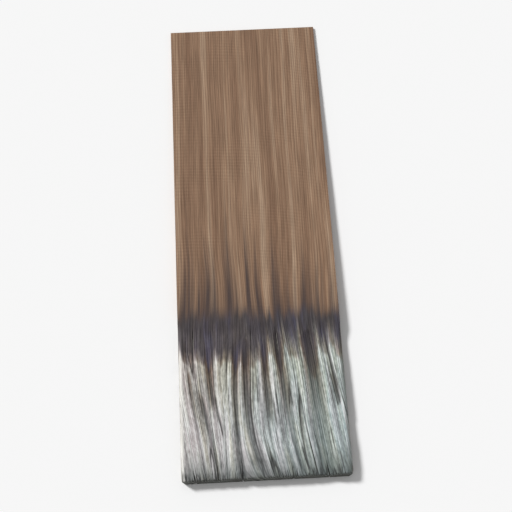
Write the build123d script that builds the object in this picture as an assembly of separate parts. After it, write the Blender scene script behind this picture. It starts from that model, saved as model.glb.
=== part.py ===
"""A weathered wood roof shingle: one tapered board of sawn cedar, as lifted from a roof.

It lies on its sawn back. +X runs across the board, +Y from the thick butt towards the thin tip,
and +Z up out of the weather face. The origin is on the back, in the middle of the board.
All sizes are in millimetres.
"""
from build123d import *
from math import cos, exp, pi, sin
import os

# The board as it left the saw
LENGTH = 406.0          # butt to tip
WIDTH = 130.0           # across the butt
NARROWING = 3.0         # how much less it measures across the tip
BUTT_THICKNESS = 10.2
TIP_THICKNESS = 2.0

# What the weather has worn
EXPOSURE = 127.0        # length left bare below the next course's butt
WEAR_DEPTH = 0.8        # wood lost from the bare part
WEAR_RAMP = 16.0        # length over which that wear fades out, up to the weather line
WEATHER_LINE_WAVE = 2.5  # how far the end of the wear wanders along the board
WEATHER_LINE_PITCH = 39.0
SIDE_ROUNDING = 3.2     # width of the worn roll along each long edge
SIDE_DROP = 1.5         # fall of that roll
BUTT_ROUNDING = 5.0     # width of the worn roll along the butt
BUTT_DROP = 1.9         # fall of that roll
CORNER_RADIUS = 3.0     # of the butt's two corners, worn round in plan

# The grain, which runs straight under the weather line and leans over towards the butt
GRAIN_SWEEP = 13.0      # how far it has leant by the time it reaches the butt
STRAIGHT_PLACE = 0.315  # but one strand stays straight: its place as a share of the width
STRAIGHT_REACH = 16.0   # and its pull on the strands to either side of it
GRAIN_WANDER = 1.2      # slow sideways wander on its way

# The hard ribs that stand out of the bare part, and the hollows worn between them
RIB_PITCH = 6.8
RIB_HEIGHT = 0.26
HOLLOW_ENDS = 0.14      # share of the bare length over which a hollow fades out
HOLLOWS = (             # place as a share of the width from the left edge, how far it strays from the
                        # grain by the butt, half width, depth, and the shares of the bare length
                        # from the butt between which it runs
    (0.055, 0.5, 1.6, 0.50, 0.00, 0.75),
    (0.099, 10.0, 2.3, 1.05, 0.00, 0.58),
    (0.185, 3.0, 2.0, 0.95, 0.50, 0.90),
    (0.245, 0.0, 2.0, 0.50, 0.00, 0.45),
    (0.345, -0.5, 1.7, 1.20, 0.00, 0.92),
    (0.400, 0.0, 2.0, 1.15, 0.10, 0.95),
    (0.505, 0.0, 2.1, 0.80, 0.40, 0.92),
    (0.596, 4.5, 2.2, 1.15, 0.10, 1.00),
    (0.700, 2.0, 1.8, 0.45, 0.00, 0.50),
    (0.790, -3.0, 4.6, 1.20, 0.00, 1.05),
    (0.905, 8.0, 2.0, 0.60, 0.00, 0.70),
)

# Drying splits that open at the butt, right through the board, and follow the grain
SPLITS = (              # place of the mouth as a share of the width, length, mouth
    (0.085, 10.0, 1.1),
    (0.358, 22.0, 0.9),
    (0.655, 8.0, 0.8),
    (0.862, 13.0, 1.0),
)

# How finely the worn part is drawn
SECTION_STEP = 3.6      # from one cross-section to the next along the board
SECTION_SPANS = 100     # spans of the curve across each of them

BUTT_Y = -LENGTH / 2
TAPER = (BUTT_THICKNESS - TIP_THICKNESS) / LENGTH


def sawn_height(from_butt):
    """Height of the sawn face above the back."""
    return BUTT_THICKNESS - TAPER * from_butt


def half_width(from_butt):
    """Distance from the middle of the board to its edge."""
    return (WIDTH - NARROWING * from_butt / LENGTH) / 2


def towards_butt(from_butt):
    """0 from the weather line up, growing to 1 at the butt."""
    return max(1 - from_butt / EXPOSURE, 0)


def lean(x, from_butt):
    """How far the grain has leant towards +X, all over the board but beside its straight strand."""
    from_straight = (x - WIDTH * (STRAIGHT_PLACE - 0.5)) / STRAIGHT_REACH
    return GRAIN_SWEEP * towards_butt(from_butt) ** 2 * (1 - exp(-(from_straight**2)))


def grain_place(x, from_butt):
    """The place across the board that a fibre at this point has at the weather line."""
    wander = GRAIN_WANDER * sin(pi * (1.7 * from_butt / EXPOSURE + x / half_width(0)))
    return x - lean(x, from_butt) + wander


def smooth_rise(value):
    """0 for a value below 0, 1 for one above 1, and a smooth rise between."""
    share = min(max(value, 0), 1)
    return share * share * (3 - 2 * share)


def relief(x, from_butt):
    """Depth below the crests of the hard grain: the ribs, and the hollows between them."""
    place = grain_place(x, from_butt)
    along = from_butt / EXPOSURE
    depth = RIB_HEIGHT / 2 * (1 - cos(2 * pi * place / RIB_PITCH))
    for share, stray, half, deep, low_end, high_end in HOLLOWS:
        middle = WIDTH * (share - 0.5) + stray * towards_butt(from_butt) ** 2
        begun = smooth_rise((along - low_end) / HOLLOW_ENDS + 1)
        left = smooth_rise((high_end - along) / HOLLOW_ENDS)
        depth += deep * begun * left * exp(-(((place - middle) / half) ** 2))
    return depth


def worn_height(x, from_butt):
    """Height of the weathered face above the back, which meets the sawn face at the weather line."""
    line = EXPOSURE + WEATHER_LINE_WAVE * sin(2 * pi * x / WEATHER_LINE_PITCH)
    grown = smooth_rise((line - from_butt) / WEAR_RAMP)
    to_side = half_width(from_butt) - abs(x)
    side_roll = SIDE_DROP * max(1 - to_side / SIDE_ROUNDING, 0) ** 2
    butt_roll = BUTT_DROP * max(1 - from_butt / BUTT_ROUNDING, 0) ** 2
    worn = WEAR_DEPTH + relief(x, from_butt) + side_roll + butt_roll
    return sawn_height(from_butt) - worn * grown


def worn_section(from_butt):
    """Cross-section of the bare part: a flat back, two sawn edges and the worn face over them."""
    half = half_width(from_butt)
    y = BUTT_Y + from_butt
    shares = [i / SECTION_SPANS for i in range(SECTION_SPANS + 1)]
    places = [half * (1 - 2 * share) for share in shares]
    face = Edge.make_spline([(x, y, worn_height(x, from_butt)) for x in places], parameters=shares)
    right_foot = (half, y, 0)
    left_foot = (-half, y, 0)
    return Wire([
        Edge.make_line(left_foot, right_foot),
        Edge.make_line(right_foot, face @ 0),
        face,
        Edge.make_line(face @ 1, left_foot),
    ])


def bare_part(length):
    """The part left to the weather, lofted through evenly spaced cross-sections from the butt up."""
    count = round(length / SECTION_STEP)
    return Solid.make_loft([worn_section(length * i / count) for i in range(count + 1)])


def covered_part(from_butt):
    """The part under the courses above, as the saw left it: the side profile cut to the plan outline."""
    foot = BUTT_Y + from_butt
    tip = BUTT_Y + LENGTH
    profile = Polygon((foot, 0), (tip, 0), (tip, TIP_THICKNESS), (foot, sawn_height(from_butt)), align=None)
    outline = Polygon(
        (-half_width(from_butt), foot),
        (half_width(from_butt), foot),
        (half_width(LENGTH), tip),
        (-half_width(LENGTH), tip),
        align=None,
    )
    wedge = extrude(Plane.YZ * profile, amount=WIDTH, both=True)
    return wedge & extrude(outline, amount=BUTT_THICKNESS)


def split(share, length, mouth):
    """A drying split: a long thin wedge that opens at the butt and runs up the grain."""
    x = WIDTH * (share - 0.5)
    end = x - lean(x, 0) + lean(x, length)
    opening = Polygon(
        (x - mouth / 2, BUTT_Y - mouth),
        (x + mouth / 2, BUTT_Y - mouth),
        (end, BUTT_Y + length),
        align=None,
    )
    return extrude(opening, amount=BUTT_THICKNESS)


def butt_corner(side):
    """What the weather has taken off one corner of the butt: a square less the round that stays."""
    x = side * half_width(0)
    square = Pos(x, BUTT_Y) * Rectangle(2 * CORNER_RADIUS, 2 * CORNER_RADIUS)
    stays = Pos(x - side * CORNER_RADIUS, BUTT_Y + CORNER_RADIUS) * Circle(CORNER_RADIUS)
    return extrude(square - stays, amount=BUTT_THICKNESS)


bare_length = EXPOSURE + WEATHER_LINE_WAVE
shingle = bare_part(bare_length) + covered_part(bare_length)
for share, length, mouth in SPLITS:
    shingle -= split(share, length, mouth)
for side in (-1, 1):
    shingle -= butt_corner(side)

os.makedirs("parts", exist_ok=True)
export_step(shingle, "parts/shingle.step")
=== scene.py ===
"""A weathered wood roof shingle, lying on its sawn back in a pale studio. Sizes are in metres."""
import math

import bmesh
import bpy
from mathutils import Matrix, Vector, noise
from mathutils.bvhtree import BVHTree


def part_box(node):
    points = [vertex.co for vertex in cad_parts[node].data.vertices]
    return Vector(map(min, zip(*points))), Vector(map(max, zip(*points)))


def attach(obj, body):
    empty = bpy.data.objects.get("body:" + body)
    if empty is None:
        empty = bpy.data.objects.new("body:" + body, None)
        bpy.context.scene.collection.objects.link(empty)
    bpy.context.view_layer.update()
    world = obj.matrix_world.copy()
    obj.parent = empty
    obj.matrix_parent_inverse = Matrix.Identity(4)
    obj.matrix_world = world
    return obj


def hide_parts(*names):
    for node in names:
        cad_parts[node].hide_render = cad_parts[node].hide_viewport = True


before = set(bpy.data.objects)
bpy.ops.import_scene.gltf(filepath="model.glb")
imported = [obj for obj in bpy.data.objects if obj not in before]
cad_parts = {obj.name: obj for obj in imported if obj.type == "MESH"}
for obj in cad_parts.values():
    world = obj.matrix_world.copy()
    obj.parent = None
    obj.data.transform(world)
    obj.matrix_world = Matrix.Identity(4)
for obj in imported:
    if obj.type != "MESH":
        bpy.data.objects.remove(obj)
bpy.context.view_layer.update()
MM = 0.001

# The shingle: one tapered board of cedar, sawn on every side and nailed in the upper part of a roof
# course. The next courses cover two thirds of it. The bare third at the butt has weathered to silver
# ridges with dark hollows worn between them along the grain, and a tannin stain ends it.
low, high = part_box("shingle")
LENGTH = high.y - low.y
WIDTH = high.x - low.x
NARROWING = 3.0 * MM    # how much less it measures across the tip
BUTT_THICKNESS = 10.2 * MM
TIP_THICKNESS = 2.0 * MM
TAPER = (BUTT_THICKNESS - TIP_THICKNESS) / LENGTH
EXPOSURE = 127.0 * MM   # length left bare below the next course's butt, up to the weather line
WEAR_DEPTH = 0.8 * MM   # wood lost from the bare part
CORNER_RADIUS = 3.0 * MM  # of the butt's two corners, worn round in plan
GRAIN_SWEEP = 13.0 * MM  # how far the grain has leant over by the time it reaches the butt
STRAIGHT_PLACE = 0.315  # but one strand stays straight: its place as a share of the width
STRAIGHT_REACH = 16.0 * MM  # and its pull on the strands to either side of it
GRAIN_WANDER = 1.2 * MM  # slow sideways wander on its way
SWERVE = 1.3 * MM       # and a quicker one of each fibre
STRAIGHTENING = 110.0 * MM  # length above the weather line over which the fibres turn straight
STRAIGHTENED = 0.75     # how nearly straight they get
RING_PITCH = 1.9 * MM   # from one growth ring to the next across the face
RING_TILT = 0.35        # how far the rings stand off square to the face
RING_SWAY = 1.6         # how many rings' breadth they stray by


def towards_butt(from_butt):
    """0 from the weather line up, growing to 1 at the butt."""
    return max(1 - from_butt / EXPOSURE, 0)


def lean(x, from_butt):
    """How far the grain has leant towards +X, all over the board but beside its straight strand."""
    from_straight = (x - WIDTH * (STRAIGHT_PLACE - 0.5)) / STRAIGHT_REACH
    return GRAIN_SWEEP * towards_butt(from_butt) ** 2 * (1 - math.exp(-(from_straight ** 2)))


def grain_place(x, from_butt):
    """The place across the board that a fibre at this point has at the weather line."""
    wander = GRAIN_WANDER * math.sin(math.pi * (1.7 * from_butt / EXPOSURE + x / (WIDTH / 2)))
    return x - lean(x, from_butt) + wander


def half_width(from_butt):
    """Distance from the middle of the board to its sawn edge, or to the round of its corner."""
    short = max(CORNER_RADIUS - from_butt, 0)
    corner = CORNER_RADIUS - math.sqrt(CORNER_RADIUS ** 2 - short ** 2)
    return (WIDTH - NARROWING * from_butt / LENGTH) / 2 - corner


def smooth_rise(value):
    """0 for a value below 0, 1 for one above 1, and a smooth rise between."""
    share = min(max(value, 0), 1)
    return share * share * (3 - 2 * share)


# The solid's own face, which the finer face of this piece is set on
solid = bmesh.new()
solid.from_mesh(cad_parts["shingle"].data)
bmesh.ops.remove_doubles(solid, verts=solid.verts, dist=0.001 * MM)
solid_face = BVHTree.FromBMesh(solid)
solid.free()
SPLIT_STEP = 1.6 * MM   # far enough to step out of a split
RIM = 0.05 * MM         # how far in from the solid's rim its height is read


def face_height(x, from_butt):
    """Height of the solid's upper face, read beside a split where the point falls into one."""
    inside = max(from_butt, RIM)
    side = half_width(inside) - RIM
    y = low.y + inside
    found = []
    for step in (0, -SPLIT_STEP, SPLIT_STEP):
        place = min(max(x + step, -side), side)
        hit = solid_face.ray_cast(Vector((place, y, high.z + MM)), Vector((0, 0, -1)))[0]
        if hit is not None and hit.z > TIP_THICKNESS / 2:
            found.append(hit.z)
            if step == 0:
                break
    return sum(found) / len(found)


def wave(across, along, pitch, reach, layer):
    """Smooth noise from -1 to 1, drawn out along the grain."""
    return noise.noise(Vector((across / pitch, along / reach, 7.3 * layer)))


def fibre(x, from_butt):
    """The fibre's place across the board: it swerves where the wood is bare, and runs straighter above."""
    place = grain_place(x, from_butt)
    place += SWERVE * wave(place, from_butt, 13 * MM, 48 * MM, 1)
    straight = STRAIGHTENED * smooth_rise((from_butt - EXPOSURE) / STRAIGHTENING)
    return place + straight * (x - place)


def rings(place, from_butt, height):
    """Growth rings between the middle of the board and this point: each turns hard as it nears a whole."""
    tilted = place + RING_TILT * height
    return tilted / RING_PITCH + RING_SWAY * wave(tilted, from_butt, 9 * MM, 300 * MM, 15)


# What the weather takes out along the grain, kind by kind: its depth, the pitch across the grain, the
# reach along it and the layer of the noise that places it, and how wide it opens in that noise
WORN = (0.22 * MM, 4.4 * MM, 110 * MM, 3, 0.24)
DRIED = (0.75 * MM, 6.5 * MM, 150 * MM, 23, 0.11)
SHORT = (0.34 * MM, 2.7 * MM, 19 * MM, 5, 0.28)
NOTCHED = (0.70 * MM, 2.5 * MM, 17 * MM, 6, 0.24)
SHORT_END = 42 * MM     # how far up from the butt the short grooves run
NOTCH_END = 11 * MM     # and the notches of its arris


def groove(place, from_butt, kind):
    """Depth of one kind of long thin groove along the grain."""
    depth, pitch, reach, layer, width = kind
    return depth * max(1 - abs(wave(place, from_butt, pitch, reach, layer)) / width, 0) ** 1.5


def grooves(place, from_butt):
    """Wood worn or split out of the bare part in long lines, finer and deeper towards the butt."""
    uneven = max(0.5 + 0.8 * wave(place, from_butt, 8 * MM, 55 * MM, 2), 0.1)
    opened = smooth_rise(4 * wave(place, from_butt, 7 * MM, 38 * MM, 14))
    worn = uneven * groove(place, from_butt, WORN)
    dried = opened * groove(place, from_butt, DRIED)
    short = smooth_rise(1 - from_butt / SHORT_END) * groove(place, from_butt, SHORT)
    notched = smooth_rise(1 - from_butt / NOTCH_END) * groove(place, from_butt, NOTCHED)
    return worn + dried + short + notched


RING_DEPTH = 0.32 * MM  # wood lost from the soft side of each growth ring
SWELL_DEPTH = 0.12 * MM  # and in slow swells
RELIEF_FADE = 14 * MM   # length over which both run out below the weather line


def fine_relief(x, from_butt):
    """Depth lost between the hard fibres, which runs out under the next course."""
    place = fibre(x, from_butt)
    reached = smooth_rise((EXPOSURE - from_butt) / RELIEF_FADE)
    soft = 1 - rings(place, from_butt, BUTT_THICKNESS) % 1
    swell = 0.5 + 0.5 * wave(place, from_butt, 5.5 * MM, 70 * MM, 7)
    return reached * (grooves(place, from_butt) + RING_DEPTH * soft ** 2 + SWELL_DEPTH * swell)


END_LOSS = 0.12 * MM    # wood lost all over the butt's end grain
SOFT_LOSS = 0.38 * MM   # more between its rings
CHIP_LOSS = 0.20 * MM   # and where small chips have dropped out


def end_wear(x, height):
    """Wood lost from the butt's end grain."""
    ring = grain_place(x, 0) + RING_TILT * height
    soft = 0.5 + 0.5 * wave(ring, height, 1.3 * MM, 30 * MM, 8)
    chipped = 0.5 + 0.5 * wave(ring, height, 0.7 * MM, 2.5 * MM, 27)
    patchy = 0.6 + 0.4 * wave(x, height, 9 * MM, 9 * MM, 9)
    return (END_LOSS + SOFT_LOSS * soft + CHIP_LOSS * chipped) * patchy


EDGE_LOSS = 0.22 * MM   # wood lost from the long sawn edges where they are bare
COVERED_SHARE = 0.35    # share of that where they are covered


def edge_wear(from_butt, height, side):
    """Wood lost from the long sawn edges, frayed along the grain."""
    bare = COVERED_SHARE + (1 - COVERED_SHARE) * smooth_rise((EXPOSURE - from_butt) / (10 * MM))
    return EDGE_LOSS * bare * (1 + wave(height, from_butt, 2.2 * MM, 26 * MM, 10 + side))


# The blank is a box of coarse squares, cut finer on the face and round the bare end
COLUMNS = 88
BARE_ROWS = 27
COVERED_ROWS = 36
EDGE_ROWS = 3
BARE_CUTS = 4
COVERED_CUTS = 1
BARE_LENGTH = 133.0 * MM  # from the butt to the end of the fine squares
ROW_GROWTH = 1.3        # above 1 where their rows lie closer together towards the butt
BARE_SHARE = BARE_ROWS / (BARE_ROWS + COVERED_ROWS)

board = bmesh.new()
bmesh.ops.create_grid(board, x_segments=COLUMNS, y_segments=BARE_ROWS + COVERED_ROWS, size=0.5)
raised = bmesh.ops.extrude_face_region(board, geom=board.faces[:])["geom"]
bmesh.ops.translate(board, vec=(0, 0, 1), verts=[v for v in raised if isinstance(v, bmesh.types.BMVert)])
uprights = [e for e in board.edges if e.verts[0].co.z != e.verts[1].co.z]
bmesh.ops.subdivide_edges(board, edges=uprights, cuts=EDGE_ROWS - 1, use_grid_fill=True)


def cut_finer(cuts, lowest, highest):
    """Cut the squares between two shares of the length finer, apart from those of the back."""
    edges = []
    for edge in board.edges:
        middle = (edge.verts[0].co + edge.verts[1].co) / 2
        if middle.z > 0.01 and lowest < middle.y + 0.5 < highest:
            edges.append(edge)
    bmesh.ops.subdivide_edges(board, edges=edges, cuts=cuts, use_grid_fill=True)


cut_finer(BARE_CUTS, -1, BARE_SHARE + 0.001)
cut_finer(COVERED_CUTS, BARE_SHARE + 0.001, 2)

WORN_END = 5.0 * MM     # how far in from an edge its wear pulls the face along
for v in board.verts:
    share = v.co.y + 0.5
    if share < BARE_SHARE:
        from_butt = BARE_LENGTH * (share / BARE_SHARE) ** ROW_GROWTH
    else:
        from_butt = BARE_LENGTH + (LENGTH - BARE_LENGTH) * (share - BARE_SHARE) / (1 - BARE_SHARE)
    side = 1 if v.co.x > 0 else -1
    half = half_width(from_butt)
    x = v.co.x * 2 * half
    height = v.co.z * (face_height(x, from_butt) - fine_relief(x, from_butt))
    above_back = smooth_rise(height / MM)
    pulled_up = max(1 - from_butt / WORN_END, 0) * above_back * end_wear(x, height)
    pulled_in = max(1 - (half - abs(x)) / WORN_END, 0) * above_back * edge_wear(from_butt, height, side)
    v.co = (x - side * pulled_in, low.y + from_butt + pulled_up, height)
bmesh.ops.recalc_face_normals(board, faces=board.faces)

blank = bpy.data.meshes.new("blank")
board.to_mesh(blank)
board.free()
shingle = bpy.data.objects.new("weathered_shingle", blank)
bpy.context.collection.objects.link(shingle)

# Drying splits that open at the butt, right through the board, and run up the grain
SPLITS = (              # place of the mouth as a share of the width, length, mouth
    (0.085, 10.0 * MM, 1.1 * MM),
    (0.358, 22.0 * MM, 0.9 * MM),
    (0.655, 8.0 * MM, 0.8 * MM),
    (0.862, 13.0 * MM, 1.0 * MM),
)
SPLIT_STEPS = 28
MOUTH_SPREAD = 1.05     # a little wider than the solid's splits
RAGGEDNESS = 0.18 * MM  # of their walls

cutter = bmesh.new()
for number, (share, length, mouth) in enumerate(SPLITS):
    made = bmesh.ops.create_grid(cutter, x_segments=1, y_segments=SPLIT_STEPS, size=0.5)["verts"]
    start = WIDTH * (share - 0.5)
    for v in made:
        up = v.co.y + 0.5
        along = -mouth + (length + mouth) * up
        middle = start + (lean(start, length * up) - lean(start, 0))
        ragged = RAGGEDNESS * wave(along, 0, 1.3 * MM, MM, 20 + number + v.co.x)
        v.co = (middle + (v.co.x * mouth * MOUTH_SPREAD + ragged) * (1 - up), low.y + along, -MM)
    faces = list({f for v in made for f in v.link_faces})
    top = bmesh.ops.extrude_face_region(cutter, geom=faces)["geom"]
    top = [v for v in top if isinstance(v, bmesh.types.BMVert)]
    bmesh.ops.translate(cutter, vec=(0, 0, BUTT_THICKNESS + 3 * MM), verts=top)
bmesh.ops.recalc_face_normals(cutter, faces=cutter.faces)
cutter_mesh = bpy.data.meshes.new("split_cutter")
cutter.to_mesh(cutter_mesh)
cutter.free()
splits = bpy.data.objects.new("split_cutter", cutter_mesh)
bpy.context.collection.objects.link(splits)
cut = shingle.modifiers.new("splits", "BOOLEAN")
cut.operation = "DIFFERENCE"
cut.solver = "EXACT"
cut.object = splits
view = bpy.context.evaluated_depsgraph_get()
mesh = bpy.data.meshes.new_from_object(shingle.evaluated_get(view))
mesh.name = "weathered_shingle"
shingle.modifiers.clear()
shingle.data = mesh
bpy.data.objects.remove(splits)
bpy.data.meshes.remove(cutter_mesh)
bpy.data.meshes.remove(blank)
mesh.polygons.foreach_set("use_smooth", [True] * len(mesh.polygons))
mesh.set_sharp_from_angle(angle=math.radians(60))

# Strands so dense that the stain takes them last
PALE_STRANDS = (        # place as a share of the width, half width, how far they climb into the stain
    (0.023, 1.6 * MM, 11 * MM),
    (0.138, 1.0 * MM, 4 * MM),
    (0.230, 1.4 * MM, 6 * MM),
    (0.408, 1.2 * MM, 6 * MM),
    (0.540, 1.4 * MM, 4 * MM),
    (0.644, 1.9 * MM, 10 * MM),
    (0.738, 1.6 * MM, 16 * MM),
    (0.846, 2.0 * MM, 10 * MM),
    (0.930, 2.2 * MM, 12 * MM),
)
STAIN_LENGTH = 37 * MM  # from where the stain starts up to the weather line
STAIN_FADE = 32 * MM    # from where it starts to its full strength
STAIN_TONGUES = 9 * MM  # how ragged its start is
HOLLOW_STAIN = 13 * MM  # how much further down it runs in a hollow
WEATHERED_PAST = 6 * MM  # how far the weather gets in above the weather line
WEATHERED_BACK = 9 * MM  # and on the back, under the butt
WEATHERED_TONGUES = 10 * MM  # how ragged that end is
WEATHERED_FADE = 14 * MM  # and how gradual
HOLLOW_DIRT_AND_SHADE_STARTS = 0.25 * MM  # depth below the crests from which a hollow is painted darker, with dirt and painted shade
HOLLOW_DIRT_AND_SHADE_GROWS = 0.95 * MM  # and how much deeper it is where that dirt and painted shade reach full strength
DIRT_AND_SHADE_FADE = 8 * MM      # length over which the dirt and painted shade run out below the weather line
DIRT_AND_SHADE_EDGE_RUNOUT = 10 * MM    # width along the long edges over which they run out
DIRT_AND_SHADE_BUTT_RUNOUT = 5 * MM     # and along the butt
DARK_GROOVE = 0.9 * MM  # depth of a groove that is painted quite dark, with dirt and painted shade
ARRIS_WIDTH = 2.4 * MM  # of the arris along the long edges, painted with a highlight on the left, which faces the lamp, and with shade on the right

# What the finish follows: the fibres, the rings, the wear, the weather's reach and how the wood is cut
marks = {name: [] for name in ("fibre", "ring", "hollow", "groove", "bare", "stain", "end", "edge", "arris")}
for v in mesh.vertices:
    x = v.co.x
    from_butt = v.co.y - low.y
    to_edge = half_width(from_butt) - abs(x)
    place = fibre(x, from_butt)
    end = smooth_rise((abs(v.normal.y) - 0.45) / 0.4)
    edge = smooth_rise((abs(v.normal.x) - 0.6) / 0.3)
    back = smooth_rise(-2 * v.normal.z)
    face = (1 - end) * (1 - edge) * (1 - back)
    worn = face * smooth_rise((EXPOSURE - from_butt) / DIRT_AND_SHADE_FADE)
    inward = smooth_rise(to_edge / DIRT_AND_SHADE_EDGE_RUNOUT) * smooth_rise(from_butt / DIRT_AND_SHADE_BUTT_RUNOUT)
    # How far a point sits below the crests: the deeper, the more dirt and painted shade its hollow gets
    sunk = inward * (BUTT_THICKNESS - WEAR_DEPTH - TAPER * from_butt - face_height(x, from_butt))
    hollow = worn * min(max((sunk - HOLLOW_DIRT_AND_SHADE_STARTS) / HOLLOW_DIRT_AND_SHADE_GROWS, 0), 1)
    tongue = 0.7 * wave(place, from_butt, 4.5 * MM, 60 * MM, 11)
    tongue += 0.4 * wave(place, from_butt, 1.7 * MM, 35 * MM, 12)
    climb = sum(
        rise * math.exp(-(((place - WIDTH * (share - 0.5)) / half) ** 2))
        for share, half, rise in PALE_STRANDS
    )
    stain_start = EXPOSURE - STAIN_LENGTH + STAIN_TONGUES * tongue - HOLLOW_STAIN * hollow + climb
    reach = back * WEATHERED_BACK + (1 - back) * (EXPOSURE + WEATHERED_PAST) + WEATHERED_TONGUES * tongue
    marks["fibre"].extend((place + RING_TILT * v.co.z, from_butt, v.co.z))
    marks["ring"].append(rings(place, from_butt, v.co.z))
    marks["hollow"].append(hollow)
    # How far a point lies in a groove, which sets the groove's dirt and painted shade
    marks["groove"].append(worn * min(grooves(place, from_butt) / DARK_GROOVE, 1))
    marks["bare"].append(smooth_rise((reach - from_butt) / WEATHERED_FADE + 0.5))
    marks["stain"].append(min(max((from_butt - stain_start) / STAIN_FADE, 0), 1))
    marks["end"].append(end)
    marks["edge"].append(edge)
    marks["arris"].append(smooth_rise(1.6 - to_edge / ARRIS_WIDTH))
for name, values in marks.items():
    if name == "fibre":
        mesh.attributes.new(name, "FLOAT_VECTOR", "POINT").data.foreach_set("vector", values)
    else:
        mesh.attributes.new(name, "FLOAT", "POINT").data.foreach_set("value", values)

finish = bpy.data.materials.new("weathered_cedar")
finish.use_nodes = True
nodes = finish.node_tree.nodes
links = finish.node_tree.links
nodes.clear()
mesh.materials.clear()
mesh.materials.append(finish)


def srgb(red, green, blue):
    """A colour as a screen shows it, 0 to 255, as the linear colour that a shader takes."""
    def linear(value):
        value /= 255
        return value / 12.92 if value < 0.04045 else ((value + 0.055) / 1.055) ** 2.4
    return (linear(red), linear(green), linear(blue), 1)


def grey(level):
    """A neutral colour, 0 to 255."""
    return srgb(level, level, level)


def node(kind, sockets=(), **settings):
    """A shader node with its settings, and its sockets set or joined by number or name."""
    made = nodes.new("ShaderNode" + kind)
    for name, value in settings.items():
        setattr(made, name, value)
    for socket, value in dict(sockets).items():
        if isinstance(value, bpy.types.NodeSocket):
            links.new(value, made.inputs[socket])
        else:
            made.inputs[socket].default_value = value
    return made


def mask(name):
    """How far a point of the wood is in a hollow, in the stain, on the end grain and so on."""
    return node("Attribute", attribute_name=name).outputs["Fac"]


def ramp(value, *stops):
    """Colours by the value, given as pairs of a place and a colour."""
    made = node("ValToRGB", {0: value})
    band = made.color_ramp
    while len(band.elements) < len(stops):
        band.elements.new(0.5)
    for element, (place, colour) in zip(band.elements, stops):
        element.position = place
        element.color = colour
    return made.outputs[0]


def mix(share, under, over, kind="MIX"):
    """One colour over another."""
    made = node("Mix", {0: share, 6: under, 7: over}, data_type="RGBA", blend_type=kind)
    return made.outputs[2]


def grained(share, colour, value, *stops):
    """The colour made darker and paler by the value, given as pairs of a place and a level of grey."""
    return mix(share, colour, ramp(value, *((place, grey(level)) for place, level in stops)), "OVERLAY")


def sums(kind, first, second=0.0):
    """Plain arithmetic on values."""
    return node("Math", {0: first, 1: second}, operation=kind).outputs[0]


def between(value, start, end, at_start=0.0, at_end=1.0):
    """The value's way from start to end, limited to that stretch."""
    return node("MapRange", {0: value, 1: start, 2: end, 3: at_start, 4: at_end}).outputs[0]


fibre_space = node("Attribute", attribute_name="fibre").outputs["Vector"]
fibre_parts = node("SeparateXYZ", {0: fibre_space})
across_board = between(fibre_parts.outputs[0], -0.5 * WIDTH, 0.5 * WIDTH)
along_board = fibre_parts.outputs[1]


def streaks(across, along, layer, detail=2.0, through=6 * MM):
    """Noise drawn out along the fibres: its size across them, along them and through the board."""
    place = (layer, layer, layer)
    placed = node("Mapping", {0: fibre_space, 1: place, 3: (1 / across, 1 / along, 1 / through)})
    return node("TexNoise", {0: placed.outputs[0], 2: 1.0, 3: detail}).outputs[0]


fine_streaks = streaks(0.55 * MM, 28 * MM, layer=2.0, detail=3.0)
late_wood = sums("FRACT", mask("ring"))
high_up = between(along_board, 35 * MM, 105 * MM)


def bleached():
    """Silver strands, neutral on the left of the board and cool on the right."""
    strand = streaks(3.0 * MM, 110 * MM, layer=1.0, detail=3.0)
    neutral = ramp(
        strand,
        (0.34, srgb(157, 156, 154)),
        (0.5, srgb(190, 190, 187)),
        (0.64, srgb(215, 215, 213)),
    )
    cool = ramp(
        strand,
        (0.34, srgb(144, 155, 155)),
        (0.5, srgb(178, 190, 190)),
        (0.64, srgb(206, 217, 217)),
    )
    drift = sums("MULTIPLY", streaks(16 * MM, 90 * MM, layer=3.0), 0.8)
    colour = mix(between(sums("ADD", across_board, drift), 0.60, 1.15), neutral, cool)
    tint = ramp(
        streaks(5 * MM, 60 * MM, layer=21.0),
        (0.38, srgb(246, 240, 228)),
        (0.5, grey(255)),
        (0.62, srgb(250, 240, 244)),
    )
    colour = mix(0.8, colour, tint, "MULTIPLY")
    return mix(sums("MULTIPLY", high_up, 0.6), colour, srgb(240, 232, 220), "MULTIPLY")


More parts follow.
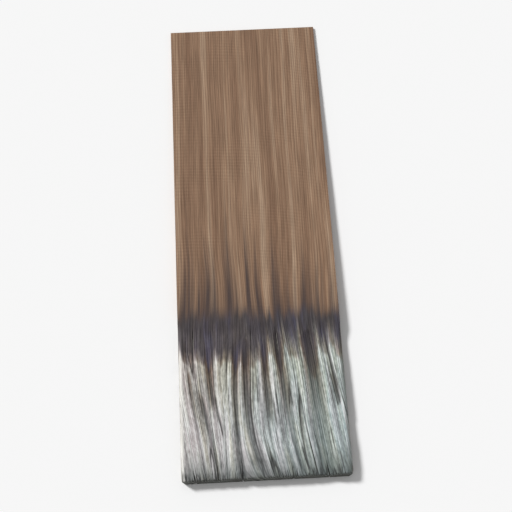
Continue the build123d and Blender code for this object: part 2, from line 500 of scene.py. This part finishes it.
def bare_wood():
    """The bleached face with its rings and fine streaks, grimy at the butt, its arrises painted lit on the
    left and shaded on the right, and its hollows and grooves darkened with dirt and painted shade.
    """
    mottle = streaks(1.6 * MM, 4 * MM, layer=8.0, detail=3.0)
    colour = grained(0.50, bleached(), late_wood, (0.0, 120), (0.35, 190), (0.92, 216), (1.0, 120))
    colour = grained(0.50, colour, fine_streaks, (0.34, 110), (0.5, 190), (0.66, 235))
    colour = grained(0.42, colour, mottle, (0.35, 130), (0.65, 230))
    checks = streaks(0.9 * MM, 45 * MM, layer=31.0, detail=1.0)
    colour = mix(between(checks, 0.38, 0.33, 0.0, 0.7), colour, srgb(78, 76, 72))
    grime = between(along_board, 24 * MM, 3 * MM, 0.0, 0.68)
    colour = mix(grime, colour, srgb(86, 93, 92))
    # Painted light on the arrises: a pale highlight on the left one, which faces the lamp, and painted shade
    # on the right one
    painted_arris_highlight_and_shade = mix(between(across_board, 0.4, 0.6), srgb(228, 226, 220), srgb(122, 130, 126))
    colour = mix(sums("MULTIPLY", mask("arris"), 0.6), colour, painted_arris_highlight_and_shade)
    brown_above = between(along_board, 45 * MM, 85 * MM, 0.0, 0.75)
    beside_hollow = sums("MULTIPLY", between(mask("hollow"), 0.0, 0.25), brown_above)
    colour = mix(beside_hollow, colour, srgb(198, 168, 146), "MULTIPLY")
    # The hollows are darkened partly by dirt and partly by painted shade
    dirt_and_painted_shade = mix(high_up, srgb(58, 62, 64), srgb(46, 37, 32))
    dirt_and_painted_shade = mix(between(across_board, 0.55, 0.80), dirt_and_painted_shade, srgb(80, 90, 87))
    dirt_and_shade_strength = between(along_board, 25 * MM, 65 * MM, 0.62, 0.82)
    colour = mix(sums("MULTIPLY", between(mask("hollow"), 0.0, 0.6), dirt_and_shade_strength), colour, mix(0.1, dirt_and_painted_shade, colour))
    # The grooves are darkened the same way: partly dirt, partly painted shade
    groove_dirt_and_shade = sums("MULTIPLY", between(mask("groove"), 0.15, 0.75), 0.85)
    return mix(groove_dirt_and_shade, colour, mix(high_up, srgb(58, 59, 59), srgb(52, 43, 38)))


def stained(wood):
    """Tannin washed out under the next course: rusty where it starts, then purple-grey, then a near-black
    band that is partly the tannin line and partly a painted shadow of the next course's butt.
    """
    frayed = sums("MULTIPLY", sums("SUBTRACT", streaks(1.2 * MM, 40 * MM, layer=17.0, detail=3.0), 0.5), 0.6)
    reach = sums("ADD", mask("stain"), sums("MULTIPLY", frayed, between(mask("stain"), 0.0, 0.2)))
    rust = ramp(
        streaks(4 * MM, 45 * MM, layer=11.0, detail=3.0),
        (0.38, srgb(200, 170, 142)),
        (0.5, srgb(194, 176, 166)),
        (0.62, srgb(180, 168, 178)),
    )
    wood = mix(sums("MULTIPLY", between(reach, 0.0, 0.16), 0.7), wood, rust, "MULTIPLY")
    wash = ramp(
        streaks(8 * MM, 60 * MM, layer=4.0),
        (0.38, srgb(64, 59, 61)),
        (0.52, srgb(74, 69, 75)),
        (0.64, srgb(69, 67, 85)),
    )
    wash = grained(0.6, wash, fine_streaks, (0.36, 90), (0.64, 225))
    full = between(across_board, 0.35, 0.65, 0.42, 0.75)
    wood = mix(sums("MULTIPLY", between(reach, 0.02, full), 0.9), wood, wash)
    # Near-black band at the weather line: partly the tannin line, partly a painted shadow of the next
    # course's butt
    return mix(sums("MULTIPLY", between(reach, 0.78, 1.0), 0.5), wood, srgb(46, 41, 44))


def covered_wood():
    """Brown cedar with its growth rings in fine lines, and darker where damp crept up from below."""
    tone = ramp(
        streaks(6 * MM, 600 * MM, layer=5.0, detail=3.0),
        (0.34, srgb(126, 99, 79)),
        (0.5, srgb(147, 119, 96)),
        (0.66, srgb(166, 141, 118)),
    )
    hard = sums("MULTIPLY", sums("POWER", late_wood, 2.5), 0.55)
    colour = mix(hard, tone, srgb(88, 56, 38))
    colour = grained(0.4, colour, fine_streaks, (0.36, 130), (0.64, 220))
    wick = sums("SUBTRACT", streaks(4.5 * MM, 500 * MM, layer=37.0, detail=3.0), 0.5)
    above_damp = sums("SUBTRACT", along_board, sums("MULTIPLY", wick, 260 * MM))
    damp = between(above_damp, EXPOSURE - 14 * MM, EXPOSURE + 62 * MM, 1.0, 0.0)
    return mix(sums("MULTIPLY", sums("POWER", damp, 1.3), 0.88), colour, srgb(62, 53, 53))


def end_grain():
    """The butt's cut end: dark grey, its darkness partly painted shade, and damp-stained, with the harder
    rings standing out paler.
    """
    cells = streaks(0.4 * MM, 900 * MM, layer=6.0, detail=3.0, through=1.6 * MM)
    # Dark grey end grain, its darkness partly painted shade
    colour = ramp(late_wood, (0.0, srgb(62, 64, 62)), (0.6, srgb(84, 87, 84)), (0.95, srgb(132, 134, 127)))
    colour = grained(0.6, colour, cells, (0.36, 105), (0.64, 228))
    damp = streaks(14 * MM, 900 * MM, layer=29.0, through=5 * MM)
    return mix(between(damp, 0.45, 0.62, 0.0, 0.55), colour, srgb(56, 52, 49))


def edge_wood():
    """The sawn long edges where they stand bare in the gap beside the next shingle."""
    tone = streaks(1.2 * MM, 60 * MM, layer=13.0, detail=3.0, through=1.5 * MM)
    return ramp(tone, (0.34, srgb(70, 66, 62)), (0.5, srgb(120, 117, 110)), (0.66, srgb(168, 165, 158)))


weathered = mix(mask("edge"), stained(bare_wood()), edge_wood())
weathered = mix(mask("end"), weathered, end_grain())
colour = mix(mask("bare"), covered_wood(), weathered)

SAW_PITCH = 3.1 * MM    # between the marks that the saw left across the board
SAW_ARC = 5.0           # how many of those pitches a mark falls back across the board
SAW_HEIGHT = 0.28       # of the marks, against the fuzz of the wood
FUZZ_HEIGHT = 0.3 * MM
saw_arc = sums("MULTIPLY", sums("POWER", across_board, 2.0), SAW_ARC)
saw_drift = sums("MULTIPLY", streaks(60 * MM, 22 * MM, layer=33.0), 1.6)
saw_place = sums("ADD", sums("ADD", sums("DIVIDE", along_board, SAW_PITCH), saw_arc), saw_drift)
saw_marks = sums("SINE", sums("MULTIPLY", saw_place, 2 * math.pi))
saw_depth = between(streaks(45 * MM, 30 * MM, layer=35.0), 0.40, 0.62, 0.15, 1.0)
unworn = sums("MULTIPLY", between(mask("bare"), 1.0, 0.0), saw_depth)
fuzz = streaks(0.4 * MM, 10 * MM, layer=7.0, detail=4.0, through=0.6 * MM)
rough = sums("ADD", fuzz, sums("MULTIPLY", sums("MULTIPLY", saw_marks, unworn), SAW_HEIGHT))
bump = node("Bump", {"Strength": 0.7, "Distance": FUZZ_HEIGHT, "Height": rough})
shader = node("BsdfPrincipled", {"Base Color": colour, "Roughness": 0.85, "Normal": bump.outputs[0]})
shader.inputs["Specular IOR Level"].default_value = 0.25
node("OutputMaterial", {0: shader.outputs[0]})

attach(shingle, "root")
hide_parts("shingle")

# The studio: a pale floor that runs on into the backdrop, one soft lamp over the board's far left
# corner and an even sky.
FLOOR_SIZE = 4.0
FLOOR_COLOUR = grey(245)
BACKDROP_COLOUR = grey(246)
LAMP_STRENGTH = 3.3
LAMP_SPREAD = math.radians(14)
LAMP_PLACE = (-1.0, 0.75, 0.95)
SKY_STRENGTH = 0.38

floor_shape = bmesh.new()
bmesh.ops.create_grid(floor_shape, x_segments=1, y_segments=1, size=FLOOR_SIZE)
floor_mesh = bpy.data.meshes.new("studio_floor")
floor_shape.to_mesh(floor_mesh)
floor_shape.free()
floor = bpy.data.objects.new("studio_floor", floor_mesh)
bpy.context.collection.objects.link(floor)
floor_paint = bpy.data.materials.new("floor_paint")
floor_paint.use_nodes = True
paint = floor_paint.node_tree.nodes["Principled BSDF"]
paint.inputs["Base Color"].default_value = FLOOR_COLOUR
paint.inputs["Roughness"].default_value = 0.9
paint.inputs["Specular IOR Level"].default_value = 0.0
floor_mesh.materials.append(floor_paint)

lamp_data = bpy.data.lights.new("key_lamp", "SUN")
lamp_data.energy = LAMP_STRENGTH
lamp_data.angle = LAMP_SPREAD
lamp = bpy.data.objects.new("key_lamp", lamp_data)
lamp.location = LAMP_PLACE
lamp.rotation_euler = lamp.location.to_track_quat("Z", "Y").to_euler()
bpy.context.collection.objects.link(lamp)

sky = bpy.data.worlds.new("studio_sky")
sky.use_nodes = True
sky_nodes = sky.node_tree.nodes
sky_links = sky.node_tree.links
sky_light = sky_nodes["Background"]
sky_light.inputs["Color"].default_value = grey(255)
sky_light.inputs["Strength"].default_value = SKY_STRENGTH
backdrop = sky_nodes.new("ShaderNodeBackground")
backdrop.inputs["Color"].default_value = BACKDROP_COLOUR
rays = sky_nodes.new("ShaderNodeLightPath")
seen = rays.outputs["Is Camera Ray"]
for kind in ("Is Glossy Ray", "Is Transmission Ray"):
    either = sky_nodes.new("ShaderNodeMath")
    either.operation = "MAXIMUM"
    sky_links.new(seen, either.inputs[0])
    sky_links.new(rays.outputs[kind], either.inputs[1])
    seen = either.outputs[0]
sky_mix = sky_nodes.new("ShaderNodeMixShader")
sky_links.new(seen, sky_mix.inputs[0])
sky_links.new(sky_light.outputs[0], sky_mix.inputs[1])
sky_links.new(backdrop.outputs[0], sky_mix.inputs[2])
sky_links.new(sky_mix.outputs[0], sky_nodes["World Output"].inputs["Surface"])
bpy.context.scene.world = sky

LENS = 85
CAMERA_TURN = math.radians(-3)
CAMERA_RISE = math.radians(66)
CAMERA_DISTANCE = 0.99
AIM = Vector((0.001, -0.017, 0))
camera_data = bpy.data.cameras.new("camera")
camera_data.lens = LENS
camera = bpy.data.objects.new("camera", camera_data)
towards_camera = Vector((
    math.sin(CAMERA_TURN) * math.cos(CAMERA_RISE),
    -math.cos(CAMERA_TURN) * math.cos(CAMERA_RISE),
    math.sin(CAMERA_RISE),
))
camera.location = AIM + CAMERA_DISTANCE * towards_camera
camera.rotation_euler = towards_camera.to_track_quat("Z", "Y").to_euler()
bpy.context.collection.objects.link(camera)
bpy.context.scene.camera = camera
bpy.context.scene.view_settings.view_transform = "Standard"
